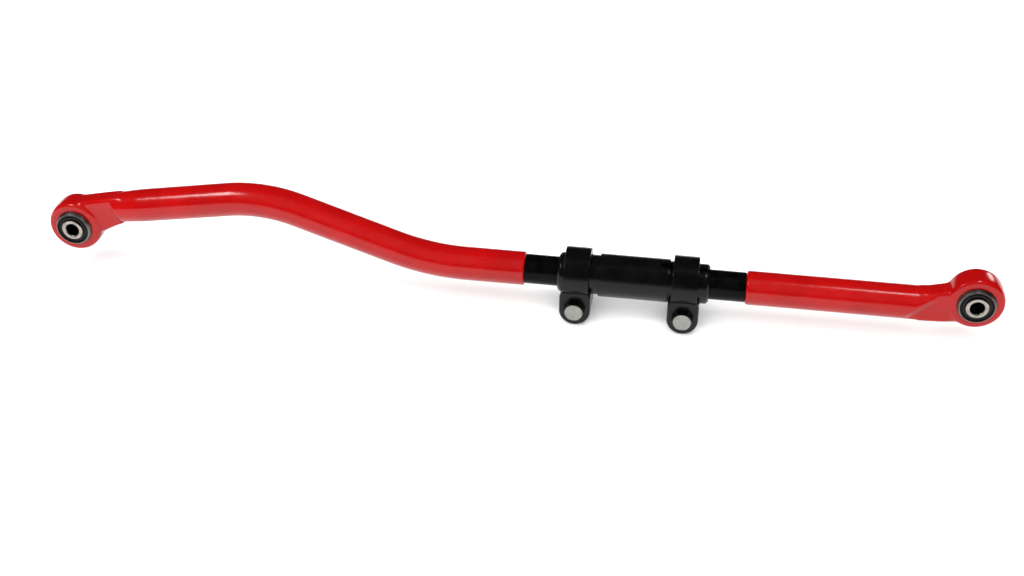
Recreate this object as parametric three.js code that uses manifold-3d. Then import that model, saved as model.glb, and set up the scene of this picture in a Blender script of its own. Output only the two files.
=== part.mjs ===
// Adjustable track bar: two forged arms with bushed eyes, joined by a double-threaded adjuster sleeve.
// Millimetres. +X runs along the bar, +Y along the eye bolts, +Z is up.
// The origin is under the middle of the bar, on the surface that the clamp ears stand on.
import * as THREE from "three";
import { mergeVertices } from "three/addons/utils/BufferGeometryUtils.js";
import Module from "manifold-3d";

const wasm = await Module();
wasm.setup();

// ---- driving dimensions ----
const axisDrop = 11; // the sleeve's axis runs this far below the eye centres
const barRadius = 17.5;
const seatGap = 0.1; // between faces that rest on each other
const pressGap = 0.15; // on the radius, between pieces pressed together
const threadGap = 0.15; // on the radius, between bolt and nut

// Runs of the long arm, along X from its own eye centre
const riseRun = 207; // to where the rising and the falling line cross
const fallRun = 173; // from there to where the falling and the level line cross
const levelRun = 101.3; // from there to the arm's end face
const riseAngle = THREE.MathUtils.degToRad(9.5);
const kneeHeight = 48.4; // of the first crossing, above the eye centre
const kneeBend = 154; // bend radius of the centreline
const elbowBend = 233;
const shortArmLength = 225; // from its own eye centre to its end face
const endChamfer = 1.2;

// Bushings
const coreBore = 7.15;
const coreWall = 4.15;
const coreHalfLength = 19.5;
const coreChamfer = 0.8;
const shellRadius = 19.2;
const shellWall = 2.3;
const shellHalfLength = 18.2;
const lipLength = 4.4; // the shell's ends taper over this length
const lipDrop = 1.7; // by this much on the radius
const lipTurnIn = 0.3; // and the inside edge turns in by this much
const lipDepth = 1.6;
const rubberInset = 0.8; // the rubber's faces lie this far inside the shell's ends
const rubberGroove = 1.4;
const rubberEdgeIn = 0.4; // rounding of the rubber's outer edge, on the radius
const rubberEdgeDown = 0.6; // and along it

// Eyes
const eyeWall = 9.05; // outside the shell, at the parting line
const eyeEdgeRound = 2.7; // how much smaller the eye is at its faces
const eyeHalfWidth = 13.5;
const eyeShoulder = 8; // half-width over which the eye keeps its full size
const eyeDraft = 0.3; // how much smaller it is there than at the parting line

// Flattened necks between eye and bar, each section as [from the eye centre, bottom, top]
const neckHalfThick = 11;
const neckPower = 7; // power of the necks' rounded-rectangle section
const roundPower = 2; // power of a circle
const longNeck = [[16, -9.5, 30.5], [32, -5, 34.3], [45, 2.6, 37.4]];
const longNeckEnd = 60;
const shortNeck = [[46, -27.6, 5.6], [30, -27, 10], [16, -25.5, 13.5]];
const shortNeckEnd = 61;

// Threaded studs
const studNeckRadius = 15.3;
const threadRelief = 0.3; // the thread is this much smaller than the neck, on the radius
const armWall = 4.85; // round the stud's tail, inside the arm
const studTailLength = 30;
const studChamfer = 1.5;
const studInSleeve = 58; // length of each stud inside the sleeve
const neckInSleeve = 4; // of that, the plain part
const neckRunOut = 1; // where the plain part drops to the thread
const longStudExposed = 34.7; // between long arm and sleeve
const shortStudExposed = 36.5;

// Adjuster sleeve, with x = 0 at its left end
const sleeveLength = 153.5;
const boreClearance = 0.35; // on the radius, between stud and sleeve
const sleeveWall = 4.7;
const barrelStep = 1.85; // the barrel stands this far above the clamps' seats
const barrelStart = 41.7;
const barrelChamfer = 0.6;
const sleeveChamfer = 2.2;
const slotLength = 50;
const slotWidth = 5;
const slotAngles = [-90, 77]; // left and right slot, in degrees up from the front

// Clamp fasteners
const boltRadius = 6;
const boltOverhang = 1.2; // of the tip beyond the nut
const boltTipChamfer = 1;
const headHeight = 7.5;
const hexFlats = 19; // of heads and nuts
const nutHeight = 10;
const hexChamfer = 1.2;
const hexFaceInset = 0.5; // the turned face of a head is this much smaller than its flats
const holeClearance = 0.3; // on the radius
const washerRadius = 12;
const washerThick = 2.5;
const lockWasherRadius = 10.5;
const lockWasherThick = 2.5;
const lockWasherSplit = 1.8;

// Pinch clamps
const clampClearance = 0.25; // on the radius, between clamp and sleeve
const clampWall = 6.4;
const clampWidth = 26.1;
const clampGap = 5;
const clampInsets = [19.4, 24]; // middle of each clamp, from its own end of the sleeve
const boltWeb = 0.05; // least metal between bolt hole and clamp bore
const earInset = 0.3; // the ears' faces lie this far inside the ring's radius
const earTop = 7; // below the sleeve's axis
const earRadius = 16; // half the ears' width, and the radius of their ends
const earEdge = 19.65; // from the bolt's axis down to the ears' ends
const earChamfer = 1.6;
const earToBarrel = 0.3; // between the right clamp's ears and the sleeve's barrel

const turnSteps = 36; // sides of a turned piece
const boltSteps = 24;
const slotSteps = 12;
const earSteps = 10;
const bendSteps = 6;

// ---- sizes that follow ----
const coreRadius = coreBore + coreWall;
const rubberHalfLength = shellHalfLength - rubberInset;
const eyeRadius = shellRadius + pressGap + eyeWall;
const eyeEdgeRadius = eyeRadius - eyeEdgeRound;
const elbowX = riseRun + fallRun;
const longArmLength = elbowX + levelRun;
const studThreadRadius = studNeckRadius - threadRelief;
const studTailRadius = barRadius - armWall - pressGap;
const boreRadius = studNeckRadius + boreClearance;
const sleeveSeatRadius = boreRadius + sleeveWall;
const sleeveBarrelRadius = sleeveSeatRadius + barrelStep;
const clampBore = sleeveSeatRadius + clampClearance;
const clampRadius = clampBore + clampWall;
const clampMiddles = [clampInsets[0], sleeveLength - clampInsets[1]];
const barrelEnd = clampMiddles[1] - earRadius - earToBarrel;
const holeRadius = boltRadius + holeClearance;
const boltDrop = clampBore + boltWeb + holeRadius; // bolt axis below the sleeve's axis
const earHalfDepth = clampRadius - earInset;
const earBottom = boltDrop + earEdge; // below the sleeve's axis
const washerLow = earHalfDepth + seatGap;
const lockWasherLow = washerLow + washerThick + seatGap;
const nutLow = lockWasherLow + lockWasherThick + seatGap;
const underHead = -earHalfDepth - seatGap;
const boltTip = nutLow + nutHeight + boltOverhang;

// ---- places ----
const eyeSpan = longArmLength + longStudExposed + sleeveLength + shortStudExposed + shortArmLength;
const axisZ = earBottom;
const eyeZ = axisZ + axisDrop;
const leftEyeX = -eyeSpan / 2;
const rightEyeX = eyeSpan / 2;
const sleeveX = leftEyeX + longArmLength + longStudExposed;
const middleY = (headHeight - underHead - boltTip) / 2; // midway between bolt heads and bolt tips

// ---- finishes ----
const finish = (colour, roughness, metalness) =>
  new THREE.MeshStandardMaterial({ color: colour, roughness, metalness });
const redCoat = finish("#c00a0c", 0.25, 0);
const blackCoat = finish("#141414", 0.3, 0);
const blackOxide = finish("#18191a", 0.3, 0.6);
const zincPlate = finish("#b9b9b4", 0.35, 1);
const shellSteel = finish("#7d7f7d", 0.4, 1);
const coreSteel = finish("#a79d97", 0.35, 1);
const blackRubber = finish("#0f0f10", 0.75, 0);

// ---- solids ----
// Cuts and joins work on solids; a geometry is made a solid first.
function toSolid(shape) {
  if (!shape.isBufferGeometry) return shape;
  const bare = shape.clone();
  bare.deleteAttribute("normal");
  bare.deleteAttribute("uv");
  const merged = mergeVertices(bare, 1e-4);
  return new wasm.Manifold(
    new wasm.Mesh({
      numProp: 3,
      vertProperties: new Float32Array(merged.attributes.position.array),
      triVerts: new Uint32Array(merged.index.array),
    }),
  );
}

function toGeometry(solid) {
  const mesh = solid.getMesh();
  const geometry = new THREE.BufferGeometry();
  geometry.setAttribute("position", new THREE.BufferAttribute(mesh.vertProperties, 3));
  geometry.setIndex(new THREE.BufferAttribute(mesh.triVerts, 1));
  return geometry;
}

const cut = (body, ...tools) =>
  tools.reduce((solid, tool) => solid.subtract(toSolid(tool)), toSolid(body));

const join = (...bodies) => bodies.map(toSolid).reduce((a, b) => a.add(b));

// Turned about the Y axis from [radius, y] points that close on themselves or on the axis.
function turnedY(points, steps = turnSteps) {
  const onAxis = points[0][0] === 0;
  const outline = onAxis ? points : [...points, points[0]];
  return new THREE.LatheGeometry(
    outline.map(([radius, y]) => new THREE.Vector2(radius, y)),
    steps,
  );
}

// Turned about the X axis from [x, radius] points.
const turnedX = (points, steps = turnSteps) =>
  turnedY(points.map(([x, radius]) => [radius, x]), steps).rotateZ(-Math.PI / 2);

function cylinderY(radius, low, high, steps = turnSteps) {
  return turnedY([[0, low], [radius, low], [radius, high], [0, high]], steps);
}

function cylinderX(radius, low, high) {
  return turnedX([[low, 0], [low, radius], [high, radius], [high, 0]]);
}

function block(width, depth, height, x, y, z) {
  return new THREE.BoxGeometry(width, depth, height).translate(x, y, z);
}

// A closed skin over sections {x, z, tilt, halfY, halfUp, power}, each square to its own tilt.
function loft(sections, sides = 24) {
  const positions = [];
  const index = [];
  for (const { x, z, tilt, halfY, halfUp, power } of sections) {
    for (let side = 0; side < sides; side++) {
      const turn = (2 * Math.PI * side) / sides;
      const round = (value) => Math.sign(value) * Math.abs(value) ** (2 / power);
      const up = halfUp * round(Math.sin(turn));
      const across = halfY * round(Math.cos(turn));
      positions.push(x - up * Math.sin(tilt), across, z + up * Math.cos(tilt));
    }
  }
  for (let row = 0; row < sections.length - 1; row++) {
    for (let side = 0; side < sides; side++) {
      const next = (side + 1) % sides;
      const [a, b] = [row * sides + side, row * sides + next];
      const [c, d] = [a + sides, b + sides];
      index.push(a, b, c, b, d, c);
    }
  }
  const last = (sections.length - 1) * sides;
  for (let side = 1; side < sides - 1; side++) {
    index.push(0, side + 1, side, last, last + side, last + side + 1);
  }
  const geometry = new THREE.BufferGeometry();
  geometry.setAttribute("position", new THREE.Float32BufferAttribute(positions, 3));
  geometry.setIndex(index);
  return geometry;
}

const roundSection = (x, z, tilt, radius = barRadius) => ({
  x, z, tilt, halfY: radius, halfUp: radius, power: roundPower,
});

const neckSection = (x, bottom, top) => ({
  x,
  z: (bottom + top) / 2,
  tilt: 0,
  halfY: neckHalfThick,
  halfUp: (top - bottom) / 2,
  power: neckPower,
});

// Sections round a bend whose straight runs cross at (x, z), turning from one tilt to the next.
function bend(x, z, radius, tiltIn, tiltOut) {
  const sense = Math.sign(tiltOut - tiltIn);
  const reach = radius * Math.tan(Math.abs(tiltOut - tiltIn) / 2);
  const startX = x - reach * Math.cos(tiltIn);
  const startZ = z - reach * Math.sin(tiltIn);
  const centreX = startX - sense * radius * Math.sin(tiltIn);
  const centreZ = startZ + sense * radius * Math.cos(tiltIn);
  return Array.from({ length: bendSteps + 1 }, (_, step) => {
    const tilt = tiltIn + ((tiltOut - tiltIn) * step) / bendSteps;
    return roundSection(
      centreX + sense * radius * Math.sin(tilt),
      centreZ - sense * radius * Math.cos(tilt),
      tilt,
    );
  });
}

// ---- arms ----
function eyeBlank() {
  const fullRadius = eyeRadius - eyeDraft;
  return turnedY([
    [0, -eyeHalfWidth],
    [eyeEdgeRadius, -eyeHalfWidth],
    [fullRadius, -eyeShoulder],
    [eyeRadius, 0],
    [fullRadius, eyeShoulder],
    [eyeEdgeRadius, eyeHalfWidth],
    [0, eyeHalfWidth],
  ]);
}

function arm(bar, faceX, inward) {
  const eyeBore = cylinderY(shellRadius + pressGap, -2 * eyeHalfWidth, 2 * eyeHalfWidth);
  const socketEnds = [faceX - inward, faceX + inward * (studTailLength + pressGap)];
  const socket = cylinderX(
    studTailRadius + pressGap,
    Math.min(...socketEnds),
    Math.max(...socketEnds),
  ).translate(0, 0, -axisDrop);
  return cut(join(bar, eyeBlank()), eyeBore, socket);
}

// Both arms are made about their own eye centre.
function longArm() {
  const fallAngle = Math.atan2(-axisDrop - kneeHeight, fallRun);
  const lineZ = (x) => kneeHeight - (riseRun - x) * Math.tan(riseAngle);
  return arm(
    loft([
      ...longNeck.map(([x, bottom, top]) => neckSection(x, bottom, top)),
      roundSection(longNeckEnd, lineZ(longNeckEnd), riseAngle),
      ...bend(riseRun, kneeHeight, kneeBend, riseAngle, fallAngle),
      ...bend(elbowX, -axisDrop, elbowBend, fallAngle, 0),
      roundSection(longArmLength - endChamfer, -axisDrop, 0),
      roundSection(longArmLength, -axisDrop, 0, barRadius - endChamfer),
    ]),
    longArmLength,
    -1,
  );
}

function shortArm() {
  return arm(
    loft([
      roundSection(-shortArmLength, -axisDrop, 0, barRadius - endChamfer),
      roundSection(-shortArmLength + endChamfer, -axisDrop, 0),
      roundSection(-shortNeckEnd, -axisDrop, 0),
      ...shortNeck.map(([x, bottom, top]) => neckSection(-x, bottom, top)),
    ]),
    -shortArmLength,
    1,
  );
}

// A stud along +X: tail in the arm from x = 0 back, then plain neck and thread out to the tip.
function stud(exposed) {
  const neckEnd = exposed + neckInSleeve;
  const tip = exposed + studInSleeve;
  return turnedX([
    [-studTailLength, 0],
    [-studTailLength, studTailRadius - studChamfer],
    [-studTailLength + studChamfer, studTailRadius],
    [seatGap, studTailRadius],
    [seatGap, studNeckRadius],
    [neckEnd, studNeckRadius],
    [neckEnd + neckRunOut, studThreadRadius],
    [tip - studChamfer, studThreadRadius],
    [tip, studThreadRadius - studChamfer],
    [tip, 0],
  ]);
}

// ---- bushings ----
// A sleeve-like piece turned about Y whose far half [radius, y] is repeated on the near side.
function mirroredTurn(half) {
  const mirrored = half.map(([radius, y]) => [radius, -y]).reverse();
  return turnedY([...mirrored, ...half]);
}

const bushingShell = () =>
  mirroredTurn([
    [shellRadius, shellHalfLength - lipLength],
    [shellRadius - lipDrop, shellHalfLength],
    [shellRadius - shellWall - lipTurnIn, shellHalfLength],
    [shellRadius - shellWall, shellHalfLength - lipDepth],
  ]);

function bushingRubber() {
  const outer = shellRadius - shellWall - pressGap;
  const inner = coreRadius + pressGap;
  const third = (outer - inner) / 3;
  return mirroredTurn([
    [outer, rubberHalfLength - rubberGroove - rubberEdgeDown],
    [outer - rubberEdgeIn, rubberHalfLength - rubberEdgeDown],
    [outer - third, rubberHalfLength - rubberGroove],
    [outer - 2 * third, rubberHalfLength],
    [inner, rubberHalfLength],
  ]);
}

const bushingCore = () =>
  mirroredTurn([
    [coreRadius, coreHalfLength - coreChamfer],
    [coreRadius - coreChamfer, coreHalfLength],
    [coreBore + coreChamfer, coreHalfLength],
    [coreBore, coreHalfLength - coreChamfer],
  ]);

// ---- adjuster ----
function slotTool(low, high, angle) {
  const reach = 2 * sleeveBarrelRadius;
  const roundEnd = new THREE.CylinderGeometry(slotWidth / 2, slotWidth / 2, reach, slotSteps)
    .rotateX(Math.PI / 2)
    .translate(low > 0 ? low : high, 0, reach / 2);
  const channel = block(high - low, slotWidth, reach, (low + high) / 2, 0, reach / 2);
  return [channel, roundEnd].map((tool) => tool.rotateX(THREE.MathUtils.degToRad(90 - angle)));
}

function adjusterSleeve() {
  const body = turnedX([
    [0, boreRadius],
    [0, sleeveSeatRadius - sleeveChamfer],
    [sleeveChamfer, sleeveSeatRadius],
    [barrelStart, sleeveSeatRadius],
    [barrelStart, sleeveBarrelRadius - barrelChamfer],
    [barrelStart + barrelChamfer, sleeveBarrelRadius],
    [barrelEnd - barrelChamfer, sleeveBarrelRadius],
    [barrelEnd, sleeveBarrelRadius - barrelChamfer],
    [barrelEnd, sleeveSeatRadius],
    [sleeveLength - sleeveChamfer, sleeveSeatRadius],
    [sleeveLength, sleeveSeatRadius - sleeveChamfer],
    [sleeveLength, boreRadius],
  ]);
  const straight = slotLength - slotWidth / 2;
  const leftSlot = slotTool(-slotWidth, straight, slotAngles[0]);
  const rightSlot = slotTool(sleeveLength - straight, sleeveLength + slotWidth, slotAngles[1]);
  return cut(body, ...leftSlot, ...rightSlot);
}

// Made about the sleeve's axis, with x = 0 at the middle of its width.
function pinchClamp() {
  const half = clampWidth / 2;
  const ring = cylinderX(clampRadius, -half, half);
  const earEnd = earRadius - earBottom;
  const outline = new THREE.Shape();
  outline.moveTo(earRadius - earChamfer, -earTop);
  outline.lineTo(-earRadius + earChamfer, -earTop);
  outline.lineTo(-earRadius, -earTop - earChamfer);
  outline.lineTo(-earRadius, earEnd);
  outline.absarc(0, earEnd, earRadius, Math.PI, 2 * Math.PI, false);
  outline.lineTo(earRadius, -earTop - earChamfer);
  const ears = new THREE.ExtrudeGeometry(outline, {
    depth: 2 * (earHalfDepth - earChamfer),
    curveSegments: earSteps,
    bevelThickness: earChamfer,
    bevelSize: earChamfer,
    bevelOffset: -earChamfer,
    bevelSegments: 1,
  })
    .translate(0, 0, -(earHalfDepth - earChamfer))
    .rotateX(Math.PI / 2);
  const bore = cylinderX(clampBore, -clampWidth, clampWidth);
  const split = block(3 * earRadius, clampGap, 2 * earBottom, 0, 0, -earBottom);
  const boltHole = cylinderY(holeRadius, -2 * earHalfDepth, 2 * earHalfDepth, boltSteps);
  boltHole.translate(0, 0, -boltDrop);
  return cut(join(ring, ears), bore, split, boltHole);
}

// A hexagon along Y with its corners along X, turned off at the low face and, if asked, the high one.
function hexagon(low, high, chamferHigh) {
  const corner = hexFlats / Math.sqrt(3);
  const clear = 1.1 * corner;
  const prism = new THREE.CylinderGeometry(corner, corner, high - low, 6)
    .rotateY(Math.PI / 2)
    .translate(0, (low + high) / 2, 0);
  const face = hexFlats / 2 - hexFaceInset;
  const dome = turnedY(
    [
      [0, low],
      [face, low],
      [clear, low + hexChamfer],
      ...(chamferHigh ? [[clear, high - hexChamfer], [face, high]] : [[clear, high]]),
      [0, high],
    ],
    boltSteps,
  );
  return toSolid(prism).intersect(toSolid(dome));
}

// The bolt lies along +Y with its head towards -Y; y = 0 is the middle of the clamp.
function clampBolt() {
  const shank = turnedY(
    [
      [0, underHead - headHeight / 2],
      [boltRadius, underHead - headHeight / 2],
      [boltRadius, boltTip - boltTipChamfer],
      [boltRadius - boltTipChamfer, boltTip],
      [0, boltTip],
    ],
    boltSteps,
  );
  return join(hexagon(underHead - headHeight, underHead, false), shank);
}

function flatWasher() {
  const high = washerLow + washerThick;
  return turnedY(
    [[holeRadius, washerLow], [washerRadius, washerLow], [washerRadius, high], [holeRadius, high]],
    boltSteps,
  );
}

function lockWasher() {
  const low = lockWasherLow;
  const high = low + lockWasherThick;
  const reach = lockWasherRadius;
  const ring = turnedY(
    [[holeRadius, low], [reach, low], [reach, high], [holeRadius, high]],
    boltSteps,
  );
  const split = block(lockWasherSplit, 4 * lockWasherThick, reach, 0, low, reach);
  return cut(ring, split);
}

function clampNut() {
  const high = nutLow + nutHeight;
  const hole = cylinderY(boltRadius + threadGap, nutLow - nutHeight, high + nutHeight, boltSteps);
  return cut(hexagon(nutLow, high, true), hole);
}

// ---- assembly ----
const group = new THREE.Group();
group.position.y = middleY;

function place(name, shape, material, x, z) {
  const mesh = new THREE.Mesh(shape.isBufferGeometry ? shape : toGeometry(shape), material);
  mesh.name = name;
  mesh.position.set(x, 0, z);
  group.add(mesh);
}

place("long_arm", longArm(), redCoat, leftEyeX, eyeZ);
place("short_arm", shortArm(), redCoat, rightEyeX, eyeZ);
place("long_arm_stud", stud(longStudExposed), blackOxide, leftEyeX + longArmLength, axisZ);
const shortStud = stud(shortStudExposed).rotateZ(Math.PI);
place("short_arm_stud", shortStud, blackOxide, rightEyeX - shortArmLength, axisZ);
place("adjuster_sleeve", adjusterSleeve(), blackCoat, sleeveX, axisZ);

for (const [side, x] of [["left", leftEyeX], ["right", rightEyeX]]) {
  place(`bushing_shell_${side}`, bushingShell(), shellSteel, x, eyeZ);
  place(`bushing_rubber_${side}`, bushingRubber(), blackRubber, x, eyeZ);
  place(`bushing_core_${side}`, bushingCore(), coreSteel, x, eyeZ);
}

for (const [number, side] of ["left", "right"].entries()) {
  const x = sleeveX + clampMiddles[number];
  place(`clamp_${side}`, pinchClamp(), blackCoat, x, axisZ);
  place(`clamp_bolt_${side}`, clampBolt(), zincPlate, x, axisZ - boltDrop);
  place(`flat_washer_${side}`, flatWasher(), zincPlate, x, axisZ - boltDrop);
  place(`lock_washer_${side}`, lockWasher(), zincPlate, x, axisZ - boltDrop);
  place(`clamp_nut_${side}`, clampNut(), zincPlate, x, axisZ - boltDrop);
}

export default group;
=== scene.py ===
import math

import bmesh
import bpy
from mathutils import Matrix, Vector


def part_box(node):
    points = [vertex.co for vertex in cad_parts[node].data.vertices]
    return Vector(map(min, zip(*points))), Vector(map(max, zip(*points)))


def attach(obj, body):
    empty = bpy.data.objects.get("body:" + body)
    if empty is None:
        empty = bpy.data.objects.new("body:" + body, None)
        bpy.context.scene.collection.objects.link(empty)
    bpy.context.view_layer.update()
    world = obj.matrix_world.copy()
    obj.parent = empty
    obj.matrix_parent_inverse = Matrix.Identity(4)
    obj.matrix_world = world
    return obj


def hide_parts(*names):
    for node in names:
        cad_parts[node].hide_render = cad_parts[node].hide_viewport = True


# Adjustable track bar. Metres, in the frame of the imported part:
# +X along the bar, +Y along the eye bolts, +Z up, floor at the ends of the clamp ears.
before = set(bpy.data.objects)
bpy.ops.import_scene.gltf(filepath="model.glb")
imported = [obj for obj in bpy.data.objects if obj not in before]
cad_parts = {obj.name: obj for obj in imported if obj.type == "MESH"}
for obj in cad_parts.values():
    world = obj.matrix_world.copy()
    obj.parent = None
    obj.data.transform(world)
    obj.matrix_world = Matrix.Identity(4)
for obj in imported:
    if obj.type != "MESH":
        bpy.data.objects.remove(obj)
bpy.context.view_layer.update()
print("frame loaded")

mm = 0.001
quarterTurn = math.pi / 2


def centreOf(node):
    low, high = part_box(node)
    return (low + high) / 2


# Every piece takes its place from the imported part.
leftEye = centreOf("bushing_core_left")
rightEye = centreOf("bushing_core_right")
sleeveLow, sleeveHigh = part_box("adjuster_sleeve")
axisZ = (sleeveLow.z + sleeveHigh.z) / 2
middleY = leftEye.y
clampPlaces = {side: centreOf("clamp_" + side).x for side in ("left", "right")}
boltZ = centreOf("clamp_bolt_left").z


# Everything is deselected before a piece is started.
def startFresh():
    bpy.ops.object.select_all(action="DESELECT")


def useOnly(obj):
    startFresh()
    obj.select_set(True)
    bpy.context.view_layer.objects.active = obj


def applyPlace(obj):
    useOnly(obj)
    bpy.ops.object.transform_apply(location=True, rotation=True, scale=True)


# In edit mode, selects what passes a test of its place or normal.
def pick(obj, kind, test):
    bpy.ops.mesh.select_mode(type=kind)
    bpy.ops.mesh.select_all(action="DESELECT")
    mesh = bmesh.from_edit_mesh(obj.data)
    found = {"VERT": mesh.verts, "EDGE": mesh.edges, "FACE": mesh.faces}[kind]
    for item in found:
        if test(item):
            item.select_set(True)
    bmesh.update_edit_mesh(obj.data)


def applyModifier(obj, kind, **settings):
    useOnly(obj)
    modifier = obj.modifiers.new(kind.title(), kind)
    for key, value in settings.items():
        setattr(modifier, key, value)
    bpy.ops.object.modifier_apply(modifier=modifier.name)


def cutAway(obj, *tools):
    for tool in tools:
        applyModifier(obj, "BOOLEAN", operation="DIFFERENCE", solver="EXACT", object=tool)
        bpy.data.objects.remove(tool)


def joinAll(first, *others):
    startFresh()
    for obj in (first, *others):
        obj.select_set(True)
    bpy.context.view_layer.objects.active = first
    bpy.ops.object.join()
    return first


def roundEdges(obj, width, segments=3, angle=30):
    applyModifier(
        obj, "BEVEL", width=width, segments=segments, limit_method="ANGLE",
        angle_limit=math.radians(angle), miter_outer="MITER_ARC",
    )


def copyMoved(obj, name, shift=(0, 0, 0), turn=0.0, about=(0, 0, 0)):
    useOnly(obj)
    bpy.ops.object.duplicate()
    twin = bpy.context.object
    twin.name = name
    twin.data.name = name
    if turn:
        applyPlace(twin)
        twin.data.transform(turnAbout(turn, about))
    twin.location = shift
    applyPlace(twin)
    return twin


def turnAbout(angle, point):
    there = Matrix.Translation(Vector(point))
    return there @ Matrix.Rotation(angle, 4, "Z") @ there.inverted()


# A turned piece: a circle, extruded and scaled along a profile of (radius, along) in mm.
# A ring's profile closes on itself; otherwise both ends are capped.
def turned(name, profile, axis, place, ring=True, steps=128):
    startFresh()
    radius, along = profile[0]
    bpy.ops.mesh.primitive_circle_add(
        vertices=steps, radius=radius * mm, location=(0, 0, along * mm)
    )
    obj = bpy.context.object
    obj.name = name
    obj.data.name = name
    applyPlace(obj)
    bpy.ops.object.mode_set(mode="EDIT")
    bpy.ops.mesh.select_all(action="SELECT")
    if not ring:
        bpy.ops.mesh.edge_face_add()
    stops = list(profile[1:]) + ([profile[0]] if ring else [])
    for nextRadius, nextAlong in stops:
        bpy.ops.mesh.extrude_region_move(
            TRANSFORM_OT_translate={"value": (0, 0, (nextAlong - along) * mm)}
        )
        share = nextRadius / radius
        if abs(share - 1) > 1e-9:
            bpy.ops.transform.resize(value=(share, share, 1), center_override=(0, 0, 0))
        radius, along = nextRadius, nextAlong
    bpy.ops.mesh.select_all(action="SELECT")
    bpy.ops.mesh.remove_doubles(threshold=1e-6)
    bpy.ops.mesh.normals_make_consistent(inside=False)
    bpy.ops.object.mode_set(mode="OBJECT")
    obj.rotation_euler = {"X": (0, quarterTurn, 0), "Y": (-quarterTurn, 0, 0)}[axis]
    obj.location = place
    applyPlace(obj)
    return obj


# A block whose far end steps through further sections, each (x, low z, high z) in mm.
def steppedBlock(name, sections, halfThick, place):
    startFresh()
    (x, low, high), rest = sections[0], sections[1:]
    bpy.ops.mesh.primitive_plane_add(size=1, rotation=(0, quarterTurn, 0))
    obj = bpy.context.object
    obj.name = name
    applyPlace(obj)
    bpy.ops.object.mode_set(mode="EDIT")
    bpy.ops.mesh.select_all(action="SELECT")
    bpy.ops.transform.resize(
        value=(1, 2 * halfThick * mm, (high - low) * mm), center_override=(0, 0, 0)
    )
    bpy.ops.transform.translate(value=(x * mm, 0, (low + high) / 2 * mm))
    for nextX, nextLow, nextHigh in rest:
        rise = ((nextLow + nextHigh) - (low + high)) / 2 * mm
        bpy.ops.mesh.extrude_region_move(
            TRANSFORM_OT_translate={"value": ((nextX - x) * mm, 0, rise)}
        )
        middle = (nextX * mm, 0, (nextLow + nextHigh) / 2 * mm)
        share = (nextHigh - nextLow) / (high - low)
        bpy.ops.transform.resize(value=(1, 1, share), center_override=middle)
        x, low, high = nextX, nextLow, nextHigh
    bpy.ops.mesh.select_all(action="SELECT")
    bpy.ops.mesh.normals_make_consistent(inside=False)
    bpy.ops.object.mode_set(mode="OBJECT")
    obj.location = place
    applyPlace(obj)
    return obj


def boxPiece(name, low, high):
    startFresh()
    low, high = Vector(low), Vector(high)
    bpy.ops.mesh.primitive_cube_add(size=1, location=(low + high) / 2, scale=high - low)
    obj = bpy.context.object
    obj.name = name
    applyPlace(obj)
    return obj


# a ridge's foot as a share of the pitch, and its crest as a share of the foot
ridgeShape = {"foot": 0.86, "crest": 0.2}


# A thread ridge: a small outline wound round the axis, its two ends closed.
def threadRidge(name, root, crest, pitch, low, high, axis, place, steps=40):
    startFresh()
    bpy.ops.mesh.primitive_plane_add(size=1, rotation=(quarterTurn, 0, 0))
    obj = bpy.context.object
    obj.name = name
    applyPlace(obj)
    bpy.ops.object.mode_set(mode="EDIT")
    bpy.ops.mesh.select_all(action="SELECT")
    bpy.ops.transform.resize(
        value=((crest - root) * mm, 1, ridgeShape["foot"] * pitch * mm),
        center_override=(0, 0, 0),
    )
    bpy.ops.transform.translate(value=((root + crest) / 2 * mm, 0, (low + pitch / 2) * mm))
    rim = (root + crest) / 2 * mm
    pick(obj, "VERT", lambda vertex: vertex.co.x > rim)
    bpy.ops.transform.resize(
        value=(1, 1, ridgeShape["crest"]), center_override=(0, 0, (low + pitch / 2) * mm)
    )
    bpy.ops.mesh.select_all(action="SELECT")
    bpy.ops.mesh.delete(type="ONLY_FACE")
    bpy.ops.object.mode_set(mode="OBJECT")
    turns = int((high - low) / pitch) - 1
    applyModifier(
        obj, "SCREW", axis="Z", angle=2 * math.pi, screw_offset=pitch * mm,
        iterations=turns, steps=steps, render_steps=steps,
    )
    bpy.ops.object.mode_set(mode="EDIT")
    bpy.ops.mesh.select_mode(type="EDGE")
    bpy.ops.mesh.select_all(action="DESELECT")
    bpy.ops.mesh.select_non_manifold()
    bpy.ops.mesh.fill()
    bpy.ops.mesh.select_all(action="SELECT")
    bpy.ops.mesh.normals_make_consistent(inside=False)
    bpy.ops.object.mode_set(mode="OBJECT")
    obj.rotation_euler = {"X": (0, quarterTurn, 0), "Y": (-quarterTurn, 0, 0)}[axis]
    obj.location = place
    applyPlace(obj)
    return obj


def linear(hexText):
    values = [int(hexText[i:i + 2], 16) / 255 for i in (1, 3, 5)]
    return (*[v / 12.92 if v <= 0.04045 else ((v + 0.055) / 1.055) ** 2.4 for v in values], 1)


def addNode(tree, kind, settings=None, values=None, links=None):
    node = tree.nodes.new(kind)
    for key, value in (settings or {}).items():
        setattr(node, key, value)
    for key, value in (values or {}).items():
        node.inputs[key].default_value = value
    for key, source in (links or {}).items():
        tree.links.new(source, node.inputs[key])
    return node


def newFinish(name, **constants):
    material = bpy.data.materials.new(name)
    material.use_nodes = True
    tree = material.node_tree
    shader = tree.nodes["Principled BSDF"]
    for key, value in constants.items():
        shader.inputs[key.replace("_", " ")].default_value = value
    place = addNode(tree, "ShaderNodeTexCoord").outputs["Object"]
    return material, tree, shader, place


def noiseOf(tree, place, sizeMm, detail=2.0, stretch=None):
    if stretch:
        place = addNode(
            tree, "ShaderNodeMapping", values={"Scale": stretch}, links={"Vector": place}
        ).outputs["Vector"]
    return addNode(
        tree, "ShaderNodeTexNoise", values={"Scale": 1 / (sizeMm * mm), "Detail": detail},
        links={"Vector": place},
    ).outputs["Fac"]


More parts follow.
